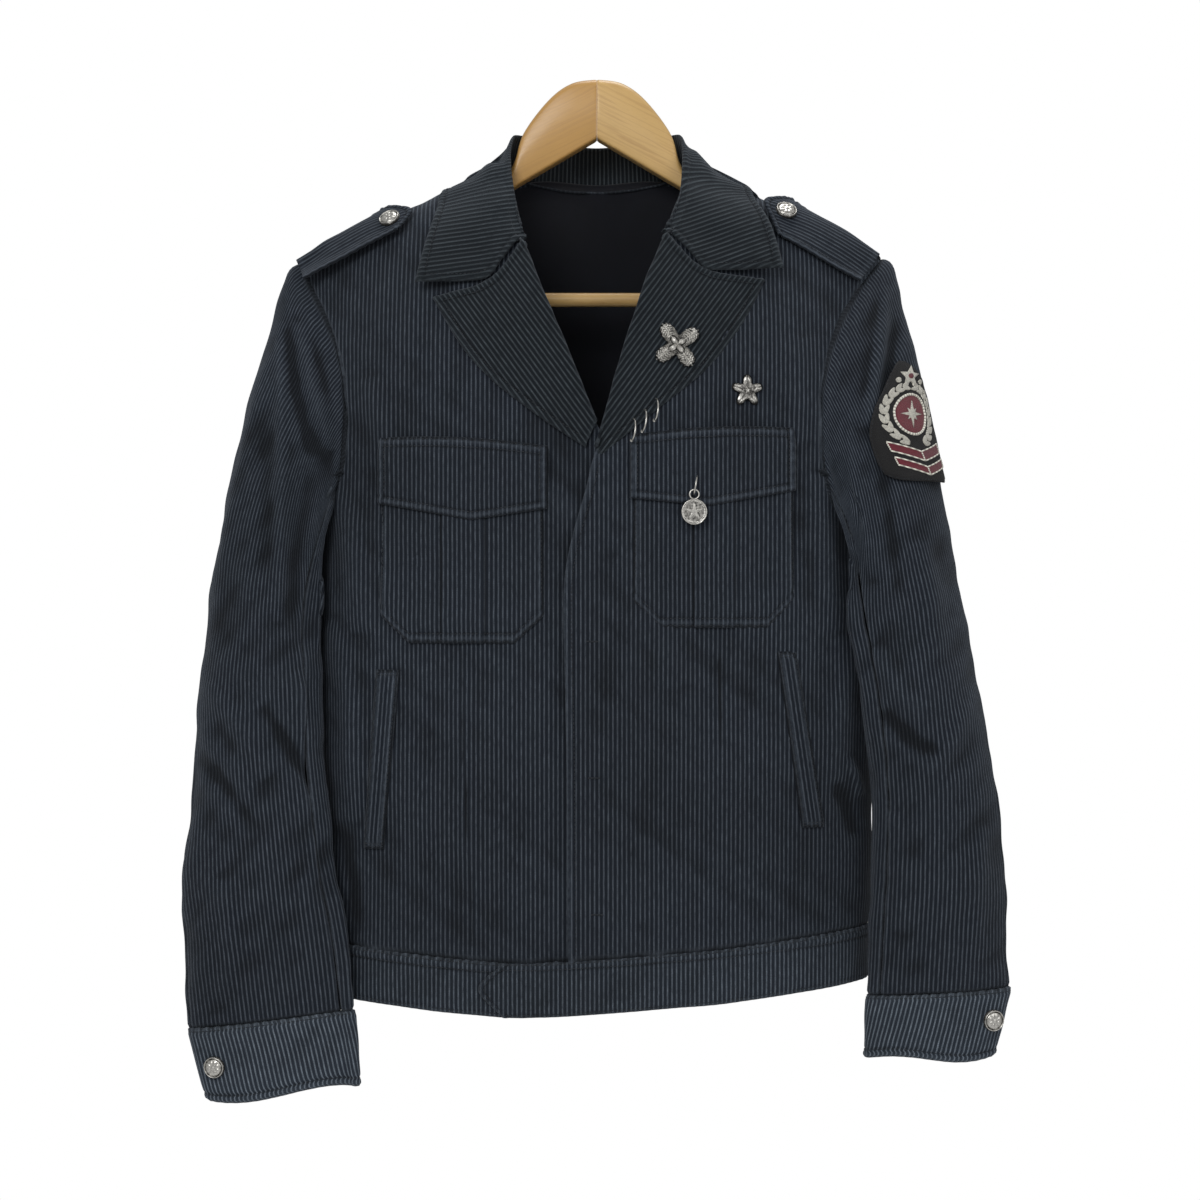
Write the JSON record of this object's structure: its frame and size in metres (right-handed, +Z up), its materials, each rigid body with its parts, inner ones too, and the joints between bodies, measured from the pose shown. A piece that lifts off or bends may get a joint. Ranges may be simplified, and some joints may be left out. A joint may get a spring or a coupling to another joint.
{
  "type": "cropped military blazer on a wooden hanger",
  "caption": "Cropped pinstriped jacket with notched lapels, flapped chest pockets, shoulder straps and a banded waist, hanging on a rounded wooden hanger with a bar.",
  "frame": {"origin": "top of the hanger, in its middle, where a hook would screw in", "axes": "+Z up, the jacket's front faces -Y, and the wearer's left is +X"},
  "size_m": [0.6168, 0.1523, 0.7674],
  "materials": {
    "back": "corded pinstripe",
    "chest_pin": "antiqued silver",
    "chest_pocket_left": "corded pinstripe",
    "chest_pocket_right": "corded pinstripe",
    "collar": "corded pinstripe",
    "cuff_button_left": "antiqued silver",
    "cuff_button_right": "antiqued silver",
    "cuff_left": "corded pinstripe",
    "cuff_right": "corded pinstripe",
    "flap_hoop": "antiqued silver",
    "front_left": "corded pinstripe",
    "front_right": "corded pinstripe",
    "hanger": "clear satin varnish",
    "hanger_bar": "clear satin varnish",
    "lapel_brooch": "antiqued silver",
    "lapel_hoop_1": "antiqued silver",
    "lapel_hoop_2": "antiqued silver",
    "lapel_hoop_3": "antiqued silver",
    "lapel_left": "corded pinstripe",
    "lapel_right": "corded pinstripe",
    "lining": "smooth lining",
    "medal": "antiqued silver",
    "pocket_flap_left": "corded pinstripe",
    "pocket_flap_right": "corded pinstripe",
    "shoulder_strap_left": "corded pinstripe",
    "shoulder_strap_right": "corded pinstripe",
    "side_welt_left": "corded pinstripe",
    "side_welt_right": "corded pinstripe",
    "sleeve_patch": "felt with stitched motif",
    "strap_button_left": "antiqued silver",
    "strap_button_right": "antiqued silver",
    "top_sleeve_left": "corded pinstripe",
    "top_sleeve_right": "corded pinstripe",
    "under_sleeve_left": "corded pinstripe",
    "under_sleeve_right": "corded pinstripe",
    "waistband": "corded pinstripe"
  },
  "bodies": {
    "root": {"back": "back", "chest_pin": "chest_pin", "chest_pocket_left": "chest_pocket_left", "chest_pocket_right": "chest_pocket_right", "collar": "collar", "cuff_button_left": "cuff_button_left", "cuff_button_right": "cuff_button_right", "cuff_left": "cuff_left", "cuff_right": "cuff_right", "flap_hoop": "flap_hoop", "front_left": "front_left", "front_right": "front_right", "hanger": "hanger", "hanger_bar": "hanger_bar", "lapel_brooch": "lapel_brooch", "lapel_hoop_1": "lapel_hoop_1", "lapel_hoop_2": "lapel_hoop_2", "lapel_hoop_3": "lapel_hoop_3", "lapel_left": "lapel_left", "lapel_right": "lapel_right", "lining": "lining", "pocket_flap_left": "pocket_flap_left", "pocket_flap_right": "pocket_flap_right", "shoulder_strap_left": "shoulder_strap_left", "shoulder_strap_right": "shoulder_strap_right", "side_welt_left": "side_welt_left", "side_welt_right": "side_welt_right", "sleeve_patch": "sleeve_patch", "strap_button_left": "strap_button_left", "strap_button_right": "strap_button_right", "top_sleeve_left": "top_sleeve_left", "top_sleeve_right": "top_sleeve_right", "under_sleeve_left": "under_sleeve_left", "under_sleeve_right": "under_sleeve_right", "waistband": "waistband"},
    "medal": {"medal": "medal"}
  },
  "joints": [
    {"name": "medal_swing", "type": "hinge", "parent": "root", "child": "medal", "pos_m": [0.0709, -0.08592, -0.31707], "axis": [0, 1, 0], "range_deg": [-60, 60]}
  ]
}
